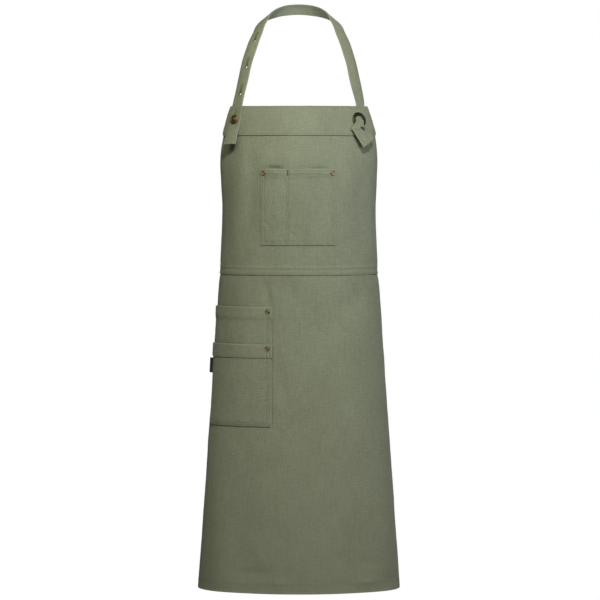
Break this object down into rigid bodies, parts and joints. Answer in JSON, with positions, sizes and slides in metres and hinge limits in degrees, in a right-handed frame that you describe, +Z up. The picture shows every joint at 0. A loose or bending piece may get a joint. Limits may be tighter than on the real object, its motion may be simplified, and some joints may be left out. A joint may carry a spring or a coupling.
{
  "type": "bib apron",
  "caption": "Full-length canvas bib apron in its worn form, with a folded top band, a neck strap buttoned at one side and knotted through an eyelet at the other, and riveted patch pockets.",
  "frame": {"origin": "at the nape, in the middle of the neck strap's inner face, where the apron hangs", "axes": "+Z up, the wearer faces -Y, +X on the right of a front view"},
  "size_m": [0.3787, 0.2103, 1.0932],
  "materials": {
    "canvas": "matt sage green cotton canvas",
    "label_cloth": "matt dark woven tape",
    "aged_brass": "aged, half dull",
    "copper": "aged copper tone, half bright",
    "dark_bronze": "dark antique, half dull"
  },
  "bodies": {
    "root": {"bib_panel": "canvas", "top_band": "canvas", "skirt_panel": "canvas", "bib_pocket": "canvas", "upper_side_pocket": "canvas", "lower_side_pocket": "canvas", "neck_strap": "canvas", "eyelet": "dark_bronze", "strap_button": "copper", "bib_pocket_rivet_left": "aged_brass", "bib_pocket_rivet_right": "aged_brass", "upper_pocket_rivet": "aged_brass", "lower_pocket_rivet": "aged_brass", "side_label": "label_cloth"}
  },
  "joints": []
}
